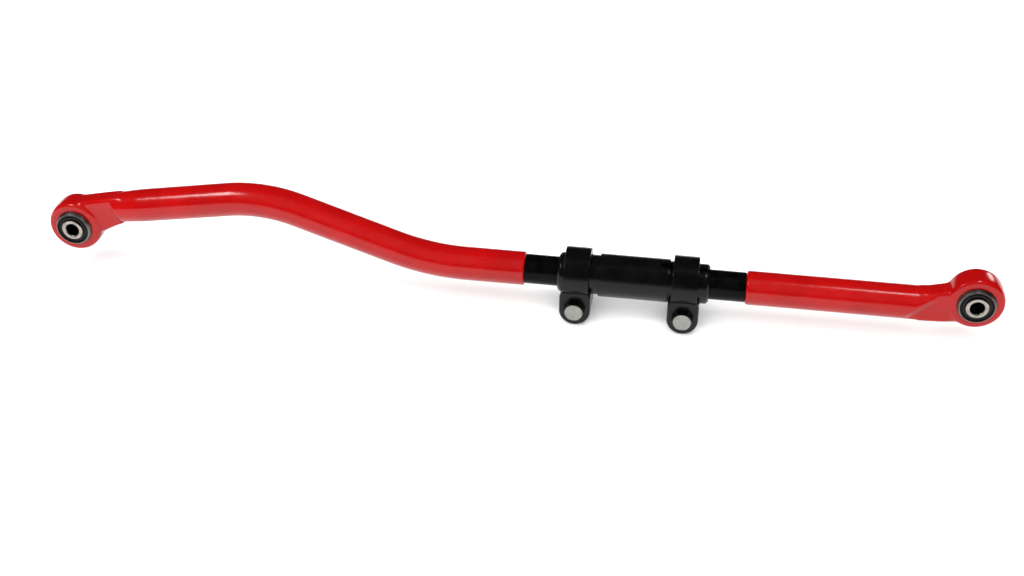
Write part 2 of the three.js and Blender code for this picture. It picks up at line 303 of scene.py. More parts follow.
def blendColours(tree, factor, first, second, low=0.35, high=0.65):
    ramp = addNode(tree, "ShaderNodeValToRGB", links={"Fac": factor})
    ramp.color_ramp.elements[0].position = low
    ramp.color_ramp.elements[0].color = linear(first)
    ramp.color_ramp.elements[1].position = high
    ramp.color_ramp.elements[1].color = linear(second)
    return ramp.outputs["Color"]


def spread(tree, factor, low, high):
    return addNode(
        tree, "ShaderNodeMapRange",
        values={"From Min": 0.3, "From Max": 0.7, "To Min": low, "To Max": high},
        links={"Value": factor},
    ).outputs["Result"]


# 1 on faces square to the eye bolts, 0 on flanks and bore walls, which take painted shade.
def endFaces(tree, low, high):
    normal = addNode(tree, "ShaderNodeNewGeometry").outputs["Normal"]
    along = addNode(tree, "ShaderNodeSeparateXYZ", links={"Vector": normal}).outputs["Y"]
    size = addNode(
        tree, "ShaderNodeMath", {"operation": "ABSOLUTE"}, links={0: along}
    ).outputs["Value"]
    return addNode(
        tree, "ShaderNodeMapRange", values={"From Min": low, "From Max": high},
        links={"Value": size},
    ).outputs["Result"]


def mixColours(tree, factor, first, second):
    return addNode(
        tree, "ShaderNodeMix", {"data_type": "RGBA"}, {6: linear(first)}, {0: factor, 7: second}
    ).outputs[2]


def bumpOf(tree, height, depthMm, under=None, strength=1.0):
    links = {"Height": height}
    if under:
        links["Normal"] = under
    return addNode(
        tree, "ShaderNodeBump", values={"Distance": depthMm * mm, "Strength": strength},
        links=links,
    ).outputs["Normal"]


# Gloss powder coat over a forging: a wet-looking skin that keeps the forging's low lumps,
# with orange peel of 2 to 3 mm that breaks its highlights up.
def redPowderCoat():
    look = {
        "dark": "#8a0102", "light": "#960203", "shine": 0.32, "rough": (0.15, 0.22),
        "lumps": 9, "lumpDepth": 0.14, "peel": 2.6, "peelDepth": 0.035, "patch": 40,
    }
    material, tree, shader, place = newFinish("redPowderCoat", Specular_IOR_Level=look["shine"])
    patches = noiseOf(tree, place, look["patch"], detail=3)
    lumps = noiseOf(tree, place, look["lumps"], detail=3)
    peel = noiseOf(tree, place, look["peel"], detail=2)
    colour = blendColours(tree, patches, look["dark"], look["light"])
    tree.links.new(colour, shader.inputs["Base Color"])
    tree.links.new(spread(tree, lumps, *look["rough"]), shader.inputs["Roughness"])
    rough = bumpOf(tree, lumps, look["lumpDepth"])
    tree.links.new(bumpOf(tree, peel, look["peelDepth"], rough), shader.inputs["Normal"])
    return material


# Gloss black dip coat on the sleeve and clamps: deep black with soft edges to its highlights.
def blackDipCoat():
    look = {
        "dark": "#030303", "light": "#070707", "shine": 0.21, "rough": (0.22, 0.27),
        "peel": 2.8, "peelDepth": 0.03, "dust": 0.8, "patch": 18,
    }
    material, tree, shader, place = newFinish("blackDipCoat", Specular_IOR_Level=look["shine"])
    patches = noiseOf(tree, place, look["patch"], detail=4)
    peel = noiseOf(tree, place, look["peel"], detail=2)
    dust = noiseOf(tree, place, look["dust"], detail=2)
    colour = blendColours(tree, patches, look["dark"], look["light"])
    tree.links.new(colour, shader.inputs["Base Color"])
    tree.links.new(spread(tree, dust, *look["rough"]), shader.inputs["Roughness"])
    tree.links.new(bumpOf(tree, peel, look["peelDepth"]), shader.inputs["Normal"])
    return material


# Black oxide on turned steel: duller than the coat, with fine turning lines.
def blackOxideSteel():
    look = {
        "dark": "#020203", "light": "#060606", "shine": 0.07, "rough": (0.18, 0.28),
        "line": 0.9, "lineDepth": 0.006, "patch": 12,
    }
    material, tree, shader, place = newFinish("blackOxideSteel", Specular_IOR_Level=look["shine"])
    patches = noiseOf(tree, place, look["patch"], detail=3)
    # wider than real turning lines, which would be too fine to show
    lines = noiseOf(tree, place, look["line"], detail=1, stretch=(1, 0.02, 0.02))
    colour = blendColours(tree, patches, look["dark"], look["light"])
    tree.links.new(colour, shader.inputs["Base Color"])
    tree.links.new(spread(tree, lines, *look["rough"]), shader.inputs["Roughness"])
    tree.links.new(bumpOf(tree, lines, look["lineDepth"]), shader.inputs["Normal"])
    return material


# Clear zinc plate on fasteners: pale, slightly clouded faces, with painted shade darkening the
# flanks.
def brightZincPlate():
    look = {
        # the flank colour is painted shade on the hex flanks
        "dark": "#82827d", "light": "#93938e", "paintedFlankShade": "#2f2f2d", "rough": (0.34, 0.48),
        "faceRange": (0.9, 0.985), "cloud": 4, "grain": 0.5, "grainDepth": 0.01,
    }
    material, tree, shader, place = newFinish("brightZincPlate", Metallic=1.0)
    clouds = noiseOf(tree, place, look["cloud"], detail=4)
    grain = noiseOf(tree, place, look["grain"], detail=2)
    plate = blendColours(tree, clouds, look["dark"], look["light"])
    # painted shade: the flanks take the dark colour, the end faces the plate
    colour = mixColours(tree, endFaces(tree, *look["faceRange"]), look["paintedFlankShade"], plate)
    tree.links.new(colour, shader.inputs["Base Color"])
    tree.links.new(spread(tree, clouds, *look["rough"]), shader.inputs["Roughness"])
    tree.links.new(bumpOf(tree, grain, look["grainDepth"]), shader.inputs["Normal"])
    return material


# Phosphated tube steel of the bushing shells: mid grey and slightly clouded.
def phosphatedShell():
    look = {
        "dark": "#60605c", "light": "#767671", "rough": (0.36, 0.52),
        "cloud": 3, "grain": 0.4, "grainDepth": 0.012,
    }
    material, tree, shader, place = newFinish("phosphatedShell", Metallic=1.0)
    clouds = noiseOf(tree, place, look["cloud"], detail=4)
    grain = noiseOf(tree, place, look["grain"], detail=2)
    colour = blendColours(tree, clouds, look["dark"], look["light"])
    tree.links.new(colour, shader.inputs["Base Color"])
    tree.links.new(spread(tree, clouds, *look["rough"]), shader.inputs["Roughness"])
    tree.links.new(bumpOf(tree, grain, look["grainDepth"]), shader.inputs["Normal"])
    return material


# Bare turned steel of the inner sleeves: faintly warm end faces, and painted shade on the bore
# walls.
def turnedBareSteel():
    look = {
        # the bore colour is painted shade for the walls of the bore
        "dark": "#88827c", "light": "#9f9a94", "bore": "#1a1817", "rough": (0.26, 0.4),
        "faceRange": (0.3, 0.6), "cloud": 5, "grain": 0.35, "grainDepth": 0.01,
    }
    material, tree, shader, place = newFinish("turnedBareSteel", Metallic=1.0)
    clouds = noiseOf(tree, place, look["cloud"], detail=3)
    grain = noiseOf(tree, place, look["grain"], detail=2, stretch=(1, 0.15, 1))
    turnedFace = blendColours(tree, clouds, look["dark"], look["light"])
    # painted shade: the bore walls take the near-black colour, the end faces the steel
    colour = mixColours(tree, endFaces(tree, *look["faceRange"]), look["bore"], turnedFace)
    tree.links.new(colour, shader.inputs["Base Color"])
    tree.links.new(spread(tree, grain, *look["rough"]), shader.inputs["Roughness"])
    tree.links.new(bumpOf(tree, grain, look["grainDepth"]), shader.inputs["Normal"])
    return material


# Moulded natural rubber: near black and matt, with a faint bloom and a fine grit.
def mouldedRubber():
    look = {
        "dark": "#060606", "light": "#0e0e0d", "shine": 0.3, "rough": (0.55, 0.75),
        "bloom": 6, "grit": 0.5, "gritDepth": 0.03,
    }
    material, tree, shader, place = newFinish("mouldedRubber", Specular_IOR_Level=look["shine"])
    bloom = noiseOf(tree, place, look["bloom"], detail=4)
    grit = noiseOf(tree, place, look["grit"], detail=3)
    colour = blendColours(tree, bloom, look["dark"], look["light"])
    tree.links.new(colour, shader.inputs["Base Color"])
    tree.links.new(spread(tree, bloom, *look["rough"]), shader.inputs["Roughness"])
    tree.links.new(bumpOf(tree, grit, look["gritDepth"]), shader.inputs["Normal"])
    return material


finishes = {
    "red_coat": redPowderCoat(),
    "black_coat": blackDipCoat(),
    "black_stud": blackOxideSteel(),
    "zinc_plate": brightZincPlate(),
    "shell_steel": phosphatedShell(),
    "core_steel": turnedBareSteel(),
    "black_rubber": mouldedRubber(),
}
print("finishes made")


# Gives a finished piece its smoothing, finish and body, and hides the CAD node it stands for.
def hand(obj, slotName, body, node, smoothAngle=35):
    useOnly(obj)
    bpy.ops.object.shade_smooth_by_angle(angle=math.radians(smoothAngle))
    obj.data.materials.clear()
    obj.data.materials.append(finishes[slotName])
    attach(obj, body)
    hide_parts(node)


armSizes = {
    "barRadius": 17.5,
    "riseRun": 207, "fallRun": 173, "levelRun": 101.3, "shortLength": 225,
    "kneeHeight": 48.4, "kneeBend": 154, "elbowBend": 233, "riseAngle": 9.5,
    "bendSteps": 28,
    "eyeProfile": [
        (25.2, -13.5), (26.4, -13.1), (27.3, -11.9), (27.95, -9.6), (28.3, -5),
        (28.4, 0), (28.3, 5), (27.95, 9.6), (27.3, 11.9), (26.4, 13.1), (25.2, 13.5),
    ],
    "shellBore": 19.35,
    "neckHalfThick": 11, "neckRound": 4.5,
    "longNeck": [
        (2, -10, 28.3), (10, -9.6, 29.6), (18, -8.8, 31.4), (32, -4.4, 34.4), (45, 2.8, 37),
        (56, 7.4, 38.6),
    ],
    "longBarEnd": [(74, 17.3, 17.3), (60, 16.4, 16.6), (48, 15.4, 15.6), (38, 13, 13)],
    "shortNeck": [
        (-56, -28.2, 5.8), (-46, -27.6, 5.8), (-30, -27, 10), (-18, -25.6, 14.4), (-8, -24, 19),
    ],
    "shortBarStops": (-62, -40),
    "socketRadius": 12.65, "socketDepth": 30.2,
    "boreReach": 30, "socketOver": 5,
    "flatStart": 29.5, "flatReach": 30,
    "longFlats": {
        "topEnd": 37.8, "lowEnd": 63.7, "top": 40, "bottom": -14, "sweep": 3, "runOut": 9,
    },
    "shortFlats": {
        "topEnd": 36.3, "lowEnd": 73.5, "top": 9, "bottom": -30, "sweep": 7, "runOut": 15,
    },
    "fold": {
        "x": 50.9, "z": 13, "length": 15, "width": 2.8, "depth": 2.2, "outside": 5, "lean": 26,
        "rootWidth": 0.3, "rootLength": 0.8,
    },
    "voxel": 0.95, "smoothing": 14, "softSmoothing": 28,
}


# where the two bars end, facing the sleeve
longFace = Vector((
    leftEye.x + (armSizes["riseRun"] + armSizes["fallRun"] + armSizes["levelRun"]) * mm,
    middleY, axisZ,
))
shortFace = Vector((rightEye.x - armSizes["shortLength"] * mm, middleY, axisZ))


def eyeBlank(eye):
    return turned("eyeBlank", armSizes["eyeProfile"], "Y", eye, ring=False)


# The hole through an eye that takes a bushing's shell.
def eyeBore(eye):
    radius, reach = armSizes["shellBore"], armSizes["boreReach"]
    return turned("boreTool", [(radius, -reach), (radius, reach)], "Y", eye, ring=False)


# The blind hole that takes a stud; inward is the way from the bar's face into the bar.
def studSocket(face, inward):
    radius = armSizes["socketRadius"]
    low, high = sorted((inward * armSizes["socketDepth"], -inward * armSizes["socketOver"]))
    return turned(
        "socketTool", [(radius, low), (radius, high)], "X", face, ring=False, steps=96
    )


# Round bar stock, started as a circle at one end and led along by extrude and spin.
def barStart(face):
    startFresh()
    bpy.ops.mesh.primitive_circle_add(
        vertices=96, radius=armSizes["barRadius"] * mm,
        location=face, rotation=(0, quarterTurn, 0),
    )
    obj = bpy.context.object
    applyPlace(obj)
    bpy.ops.object.mode_set(mode="EDIT")
    bpy.ops.mesh.select_all(action="SELECT")
    bpy.ops.mesh.edge_face_add()
    return obj


def barFinish(obj):
    bpy.ops.mesh.select_all(action="SELECT")
    bpy.ops.mesh.normals_make_consistent(inside=False)
    bpy.ops.object.mode_set(mode="OBJECT")
    return obj


def leadTo(point, goal):
    bpy.ops.mesh.extrude_region_move(TRANSFORM_OT_translate={"value": goal - point})
    return goal


# spin runs against the sign of its angle
def leadRound(centre, angle, point):
    bpy.ops.mesh.spin(
        steps=armSizes["bendSteps"], angle=-angle, center=centre, axis=(0, 1, 0)
    )
    return centre + Matrix.Rotation(angle, 3, "Y") @ (point - centre)


def forge(name, blanks, flats, cuts, smoothing):
    obj = joinAll(*blanks)
    obj.name = name
    obj.data.name = name
    applyModifier(obj, "REMESH", mode="VOXEL", voxel_size=armSizes["voxel"] * mm)
    cutAway(obj, *flats)
    applyModifier(obj, "REMESH", mode="VOXEL", voxel_size=armSizes["voxel"] * mm)
    applyModifier(obj, "SMOOTH", factor=0.5, iterations=smoothing)
    cutAway(obj, *cuts)
    return obj


# Side flats of a neck: blocks taken off both sides, with slanted, run-out ends.
def neckFlats(eye, sense, topEnd, lowEnd, top, bottom, sweep, runOut):
    startX = armSizes["flatStart"]  # just outside the eye
    leftX, rightX = sorted((eye.x + sense * startX * mm, eye.x + sense * lowEnd * mm))
    farX = eye.x + sense * (startX + 0.5 * (lowEnd - startX)) * mm
    middleZ = eye.z + (top + bottom) / 2 * mm
    tools = []
    for side in (-1, 1):
        inner = middleY + side * armSizes["neckHalfThick"] * mm
        outer = middleY + side * armSizes["flatReach"] * mm
        tool = boxPiece(
            "flatTool",
            (leftX, min(inner, outer), eye.z + bottom * mm),
            (rightX, max(inner, outer), eye.z + top * mm),
        )
        bpy.ops.object.mode_set(mode="EDIT")
        pick(tool, "VERT", lambda v: (v.co.x - farX) * sense > 0 and v.co.z > middleZ)
        bpy.ops.transform.translate(value=(sense * (topEnd - lowEnd) * mm, 0, 0))
        pick(tool, "VERT", lambda v: (v.co.x - farX) * sense > 0 and abs(v.co.y - outer) < 1e-5)
        bpy.ops.transform.translate(value=(sense * runOut * mm, 0, 0))
        pick(tool, "EDGE", lambda e: all(
            abs(v.co.y - inner) < 1e-5 and (v.co.x - eye.x) * sense > (startX + 1) * mm
            for v in e.verts
        ))
        bpy.ops.mesh.bevel(offset=sweep * mm, segments=8)
        bpy.ops.object.mode_set(mode="OBJECT")
        tools.append(tool)
    return tools


# The shallow fold that forging left where the long arm's flat runs out, front side only.
def forgingFold():
    fold = armSizes["fold"]
    half, long = fold["width"] / 2 * mm, fold["length"] / 2 * mm
    outerY = -(armSizes["neckHalfThick"] + fold["outside"]) * mm
    innerY = -(armSizes["neckHalfThick"] - fold["depth"]) * mm
    tool = boxPiece("foldTool", (-half, outerY, -long), (half, innerY, long))
    bpy.ops.object.mode_set(mode="EDIT")
    pick(tool, "VERT", lambda v: abs(v.co.y - innerY) < 1e-6)
    bpy.ops.transform.resize(
        value=(fold["rootWidth"], 1, fold["rootLength"]), center_override=(0, 0, 0)
    )
    bpy.ops.object.mode_set(mode="OBJECT")
    tool.rotation_euler = (0, math.radians(-fold["lean"]), 0)
    tool.location = (leftEye.x + fold["x"] * mm, middleY, leftEye.z + fold["z"] * mm)
    applyPlace(tool)
    return tool


def neckBlock(sections, eye):
    block = steppedBlock("neckBlock", sections, armSizes["neckHalfThick"], eye)
    applyModifier(
        block, "BEVEL", width=armSizes["neckRound"] * mm, segments=5,
        limit_method="ANGLE", angle_limit=math.radians(60),
    )
    return block


def makeLongArm():
    s = armSizes
    rise = math.radians(s["riseAngle"])
    drop = (leftEye.z - axisZ) / mm
    fall = math.atan2(s["kneeHeight"] + drop, s["fallRun"])
    elbow = Vector((leftEye.x + (s["riseRun"] + s["fallRun"]) * mm, middleY, axisZ))
    knee = Vector((leftEye.x + s["riseRun"] * mm, middleY, leftEye.z + s["kneeHeight"] * mm))
    uphill = Vector((-math.cos(fall), 0, math.sin(fall)))
    downhill = Vector((-math.cos(rise), 0, -math.sin(rise)))
    elbowReach = s["elbowBend"] * mm * math.tan(fall / 2)
    kneeReach = s["kneeBend"] * mm * math.tan((rise + fall) / 2)

    bar = barStart(longFace)
    point = leadTo(longFace, elbow + Vector((elbowReach, 0, 0)))
    point = leadRound(point + Vector((0, 0, s["elbowBend"] * mm)), fall, point)
    point = leadTo(point, knee - uphill * kneeReach)
    inside = Vector((-math.sin(fall), 0, -math.cos(fall)))
    point = leadRound(point + inside * s["kneeBend"] * mm, -(rise + fall), point)
    # the bar narrows where it runs into the neck
    wide = deep = s["barRadius"]
    for x, nextWide, nextDeep in s["longBarEnd"]:
        along = (leftEye.x + x * mm - point.x) / downhill.x
        point = leadTo(point, point + downhill * along)
        bpy.ops.transform.resize(
            value=(1, nextWide / wide, nextDeep / deep), center_override=point
        )
        wide, deep = nextWide, nextDeep
    barFinish(bar)

    return forge(
        "longForgedArm",
        [bar, eyeBlank(leftEye), neckBlock(s["longNeck"], leftEye)],
        neckFlats(leftEye, 1, **s["longFlats"]),
        [eyeBore(leftEye), studSocket(longFace, -1), forgingFold()],
        s["smoothing"],
    )


def makeShortArm():
    s = armSizes
    bar = barStart(shortFace)
    point = shortFace
    for x in s["shortBarStops"]:
        point = leadTo(point, Vector((rightEye.x + x * mm, middleY, axisZ)))
    barFinish(bar)
    return forge(
        "shortForgedArm",
        [bar, eyeBlank(rightEye), neckBlock(s["shortNeck"], rightEye)],
        neckFlats(rightEye, -1, **s["shortFlats"]),
        [eyeBore(rightEye), studSocket(shortFace, 1)],
        s["softSmoothing"],
    )


longArm = makeLongArm()
print("long arm made")
shortArm = makeShortArm()
print("short arm made")
hand(longArm, "red_coat", "long_arm_body", "long_arm", 50)
hand(shortArm, "red_coat", "short_arm_body", "short_arm", 50)

bushingSizes = {
    "shell": [
        (19.2, 13.8), (18.75, 15.6), (18.1, 17.2), (17.6, 17.95), (17.1, 18.2),
        (16.75, 18.1), (16.6, 17.7), (16.9, 16.6),
    ],
    "rubber": [
        (16.75, 15.4), (16.5, 16.6), (16, 16.8), (15.2, 16.1), (14.6, 16.1), (13.8, 17.1),
        (13, 17.4), (12, 17.4), (11.45, 17.1),
    ],
    "core": [
        (11.3, 18.6), (11.1, 19.1), (10.6, 19.5), (8.1, 19.5), (7.5, 19.2), (7.15, 18.7),
    ],
}


def bothEnds(half):
    return [(radius, -along) for radius, along in reversed(half)] + half


bushingKinds = {
    "shell": ("bushingShell", "shell_steel"),
    "rubber": ("bondedRubber", "black_rubber"),
    "core": ("innerCore", "core_steel"),
}
eyeBodies = {
    "left": ("long_arm_body", "left_core_body"),
    "right": ("short_arm_body", "right_core_body"),
}
for kind, (pieceName, slotName) in bushingKinds.items():
    leftPiece = turned(pieceName + "Left", bothEnds(bushingSizes[kind]), "Y", leftEye)
    rightPiece = copyMoved(leftPiece, pieceName + "Right", rightEye - leftEye)
    for side, piece in (("left", leftPiece), ("right", rightPiece)):
        body = eyeBodies[side][1 if kind == "core" else 0]
        hand(piece, slotName, body, "bushing_" + kind + "_" + side, 25)
print("bushings made")

studSizes = {
    "neck": 15.3, "thread": 15, "root": 13.8, "tail": 12.5, "tailLength": 30,
    "longExposed": 34.7, "shortExposed": 36.5, "inSleeve": 58, "neckInSleeve": 4,
    "pitch": 2, "groove": 0.5,
}


def makeStud(name, exposed, place):
    s = studSizes
    neckEnd, tip = exposed + s["neckInSleeve"], exposed + s["inSleeve"]
    body = turned(
        name,
        [
            (s["tail"] - 1.5, -s["tailLength"]), (s["tail"], -s["tailLength"] + 1.5),
            (s["tail"], 0.1), (s["neck"] - s["groove"], 0.1), (s["neck"], 0.1 + s["groove"]),
            (s["neck"], neckEnd), (s["root"], neckEnd + 1.5), (s["root"], tip - 1),
            (s["root"] - 1, tip),
        ],
        "X", place, ring=False,
    )
    ridge = threadRidge(
        "studThread", s["root"] - 0.3, s["thread"], s["pitch"], neckEnd + 1, tip - 2, "X", place
    )
    return joinAll(body, ridge)


longStud = makeStud("longThreadedStud", studSizes["longExposed"], longFace)
shortStart = makeStud("shortStudBlank", studSizes["shortExposed"], shortFace)
shortStud = copyMoved(shortStart, "shortThreadedStud", turn=math.pi, about=shortFace)
bpy.data.objects.remove(shortStart)
hand(longStud, "black_stud", "long_arm_body", "long_arm_stud", 25)
hand(shortStud, "black_stud", "short_arm_body", "short_arm_stud", 25)
print("studs made")

sleeveSizes = {
    "length": 153.5, "bore": 15.65, "seat": 20.35, "barrel": 22.2,
    "barrelStart": 41.7, "barrelEnd": 113.2, "endRound": 2.2,
    "slotLength": 50, "slotWidth": 5, "slotAngles": (-90, 77), "ringStep": 2.5,
}


def slotTool(low, high, angle, place):
    startFresh()
    width = sleeveSizes["slotWidth"]
    bpy.ops.mesh.primitive_cube_add(
        size=1, location=((low + high) / 2 * mm, 0, 20 * mm),
        scale=((high - low) * mm, width * mm, 40 * mm),
    )
    tool = bpy.context.object
    applyPlace(tool)
    innerX = high if low < 0 else low
    bpy.ops.object.mode_set(mode="EDIT")
    pick(tool, "EDGE", lambda e: abs(e.verts[0].co.x - innerX * mm) < 1e-6
         and abs(e.verts[1].co.x - innerX * mm) < 1e-6
         and abs(e.verts[0].co.z - e.verts[1].co.z) > 1e-3)
    bpy.ops.mesh.bevel(offset=0.499 * width * mm, segments=12)
    bpy.ops.object.mode_set(mode="OBJECT")
    tool.rotation_euler = (math.radians(90 - angle), 0, 0)
    tool.location = place
    applyPlace(tool)
    return tool


# Extra rings along a plain run keep the shading even beside the slots.
def stepsBetween(radius, low, high):
    count = max(2, int((high - low) / sleeveSizes["ringStep"]))
    return [(radius, low + (high - low) * i / count) for i in range(1, count)]


def makeSleeve():
    s = sleeveSizes
    length, seat, barrel, edge = s["length"], s["seat"], s["barrel"], s["endRound"]
    place = Vector((sleeveLow.x, middleY, axisZ))
    sleeve = turned(
        "adjusterTube",
        [
            (s["bore"] + 0.6, 0), (seat - edge, 0), (seat - 0.5, edge - 0.5), (seat, edge + 0.7),
            *stepsBetween(seat, edge + 0.7, s["barrelStart"]),
            (seat, s["barrelStart"]), (barrel - 0.7, s["barrelStart"]),
            (barrel - 0.15, s["barrelStart"] + 0.3), (barrel, s["barrelStart"] + 0.9),
            *stepsBetween(barrel, s["barrelStart"] + 0.9, s["barrelEnd"] - 0.9),
            (barrel, s["barrelEnd"] - 0.9), (barrel - 0.15, s["barrelEnd"] - 0.3),
            (barrel - 0.7, s["barrelEnd"]), (seat, s["barrelEnd"]),
            *stepsBetween(seat, s["barrelEnd"], length - edge - 0.7),
            (seat, length - edge - 0.7), (seat - 0.5, length - edge + 0.5),
            (seat - edge, length), (s["bore"] + 0.6, length), (s["bore"], length - 0.6),
            (s["bore"], 0.6),
        ],
        "X", place,
    )
    straight = s["slotLength"]
    cutAway(
        sleeve,
        slotTool(-5, straight, s["slotAngles"][0], place),
        slotTool(length - straight, length + 5, s["slotAngles"][1], place),
    )
    return sleeve


hand(makeSleeve(), "black_coat", "sleeve_body", "adjuster_sleeve", 30)
print("sleeve made")

clampSizes = {
    "radius": 27, "width": 26.1, "bore": 20.6, "edge": 0.5, "gap": 5,
    "earHalfDepth": 26.7, "earTop": -7, "earShoulder": -14, "earBottom": -46.6, "earRadius": 16,
    "earNeck": 13.2,
    "boltHole": 6.3, "earEdge": 2.4, "voxel": 0.5, "smoothing": 3,
}


def makeClamp(name, x):
    s = clampSizes
    half, edge = s["width"] / 2, s["edge"]
    place = Vector((x, middleY, axisZ))
    ring = turned(
        name,
        [
            (s["radius"] - edge, -half), (s["radius"] - 0.35 * edge, -half + 0.35 * edge),
            (s["radius"], -half + edge), (s["radius"], half - edge),
            (s["radius"] - 0.35 * edge, half - 0.35 * edge), (s["radius"] - edge, half),
        ],
        "X", place, ring=False,
    )
    ears = boxPiece(
        "clampEars",
        (-s["earRadius"] * mm, -s["earHalfDepth"] * mm, s["earBottom"] * mm),
        (s["earRadius"] * mm, s["earHalfDepth"] * mm, s["earShoulder"] * mm),
    )
    # the shoulders draw in to the width of the ring
    bpy.ops.object.mode_set(mode="EDIT")
    pick(ears, "FACE", lambda f: f.normal.z > 0.9)
    bpy.ops.mesh.extrude_region_move(
        TRANSFORM_OT_translate={"value": (0, 0, (s["earTop"] - s["earShoulder"]) * mm)}
    )
    bpy.ops.transform.resize(
        value=(s["earNeck"] / s["earRadius"], 1, 1), center_override=(0, 0, s["earTop"] * mm)
    )
    pick(ears, "EDGE", lambda e: all(v.co.z < (s["earBottom"] + 1) * mm for v in e.verts)
         and abs(e.verts[0].co.y - e.verts[1].co.y) > 1e-3)
    bpy.ops.mesh.bevel(offset=0.998 * s["earRadius"] * mm, segments=32)
    bpy.ops.object.mode_set(mode="OBJECT")
    roundEdges(ears, s["earEdge"] * mm, 4, 50)
    ears.location = place
    applyPlace(ears)
    clamp = joinAll(ring, ears)
    applyModifier(clamp, "REMESH", mode="VOXEL", voxel_size=s["voxel"] * mm)
    applyModifier(clamp, "SMOOTH", factor=0.5, iterations=s["smoothing"])
    bore = turned(
        "clampBoreTool",
        [
            (s["bore"] + 2.9, -half - 2), (s["bore"], -half + 0.9),
            (s["bore"], half - 0.9), (s["bore"] + 2.9, half + 2),
        ],
        "X", place, ring=False,
    )
    boltHole = turned(
        "boltHoleTool", [(s["boltHole"], -40), (s["boltHole"], 40)], "Y",
        Vector((x, middleY, boltZ)), ring=False, steps=64,
    )
    split = boxPiece(
        "splitTool",
        (x - 30 * mm, middleY - s["gap"] / 2 * mm, axisZ - 60 * mm),
        (x + 30 * mm, middleY + s["gap"] / 2 * mm, axisZ),
    )
    cutAway(clamp, bore, split, boltHole)
    return clamp


leftClamp = makeClamp("pinchClampLeft", clampPlaces["left"])
clampStep = Vector((clampPlaces["right"] - clampPlaces["left"], 0, 0))
rightClamp = copyMoved(leftClamp, "pinchClampRight", clampStep)
hand(leftClamp, "black_coat", "clamp_carriage", "clamp_left", 50)
hand(rightClamp, "black_coat", "clamp_carriage", "clamp_right", 50)
print("clamps made")

fastenerSizes = {
    "shank": 6, "root": 5.15, "pitch": 1.75, "flats": 19, "face": 9, "headHeight": 7.5,
    "ringMark": 6.7, "chamfer": 1.2, "under": 26.8, "tip": 43.2,
    "washer": (12, 26.8, 29.3), "lock": (10.5, 29.4, 31.9), "nut": (32, 42),
    "hole": 6.3, "nutHole": 6.15, "lockSplit": 1.8, "lockSlant": 1.6, "lockReach": 14,
    "threadLength": 32, "edge": 0.25,
}


# A hexagonal prism along Y, its corners turned off by meeting a domed disc.
def hexPiece(name, low, high, place, markedFace, bothFaces):
    s = fastenerSizes
    corner = s["flats"] / math.sqrt(3)
    startFresh()
    bpy.ops.mesh.primitive_cylinder_add(
        vertices=6, radius=corner * mm, depth=(high - low) * mm,
        location=(0, (low + high) / 2 * mm, 0), rotation=(quarterTurn, 0, 0),
    )
    obj = bpy.context.object
    obj.name = name
    obj.data.name = name
    applyPlace(obj)
    bpy.ops.object.mode_set(mode="EDIT")
    bpy.ops.mesh.select_all(action="SELECT")
    bpy.ops.transform.rotate(value=math.radians(30), orient_axis="Y", center_override=(0, 0, 0))
    bpy.ops.object.mode_set(mode="OBJECT")
    obj.location = place
    applyPlace(obj)
    wide = corner + 2
    run = s["chamfer"] * (wide - s["face"]) / (corner - s["face"])
    dome = [(s["face"], low), (wide, low + run)]
    if markedFace:
        dome = [(s["ringMark"] - 0.5, low + 0.12), (s["ringMark"], low)] + dome
    dome += [(wide, high - run), (s["face"], high)] if bothFaces else [(wide, high)]
    disc = turned("domedDisc", dome, "Y", place, ring=False, steps=96)
    applyModifier(obj, "BOOLEAN", operation="INTERSECT", solver="EXACT", object=disc)
    bpy.data.objects.remove(disc)
    return obj


def makeBolt(name, place):
    s = fastenerSizes
    head = hexPiece(name, -s["under"] - s["headHeight"], -s["under"], place, True, False)
    roundEdges(head, s["edge"] * mm, 2, 25)
    threadStart = s["tip"] - s["threadLength"]
    shank = turned(
        "boltShank",
        [
            (s["shank"], -s["under"] - 2), (s["shank"], threadStart),
            (s["root"], threadStart + 1), (s["root"], s["tip"] - 0.8), (s["root"] - 0.8, s["tip"]),
        ],
        "Y", place, ring=False, steps=64,
    )
    ridge = threadRidge(
        "boltThread", s["root"] - 0.2, s["shank"], s["pitch"], threadStart, s["tip"] - 0.2,
        "Y", place, 32,
    )
    return joinAll(head, shank, ridge)


def makeFlatWasher(name, place):
    radius, low, high = fastenerSizes["washer"]
    hole = fastenerSizes["hole"]
    return turned(
        name,
        [
            (hole, low + 0.2), (hole + 0.2, low), (radius - 0.3, low), (radius, low + 0.5),
            (radius, high - 0.5), (radius - 0.3, high), (hole + 0.2, high), (hole, high - 0.2),
        ],
        "Y", place,
    )


def makeLockWasher(name, place):
    s = fastenerSizes
    radius, low, high = s["lock"]
    hole, halfSplit, slant = s["hole"], s["lockSplit"] / 2 * mm, s["lockSlant"] * mm
    washer = turned(
        name,
        [
            (hole, low + 0.2), (hole + 0.2, low), (radius - 0.2, low), (radius, low + 0.2),
            (radius, high - 0.2), (radius - 0.2, high), (hole + 0.2, high), (hole, high - 0.2),
        ],
        "Y", place,
    )
    split = boxPiece(
        "lockSplitTool",
        (place.x - halfSplit, middleY + (low - 2) * mm, place.z),
        (place.x + halfSplit, middleY + (high + 2) * mm, place.z + s["lockReach"] * mm),
    )
    # the spring's ends are cut on a slant
    bpy.ops.object.mode_set(mode="EDIT")
    farY = middleY + (low + high) / 2 * mm
    pick(split, "VERT", lambda v: v.co.y > farY)
    bpy.ops.transform.translate(value=(slant, 0, 0))
    pick(split, "VERT", lambda v: v.co.y < farY)
    bpy.ops.transform.translate(value=(-slant, 0, 0))
    bpy.ops.object.mode_set(mode="OBJECT")
    cutAway(washer, split)
    return washer


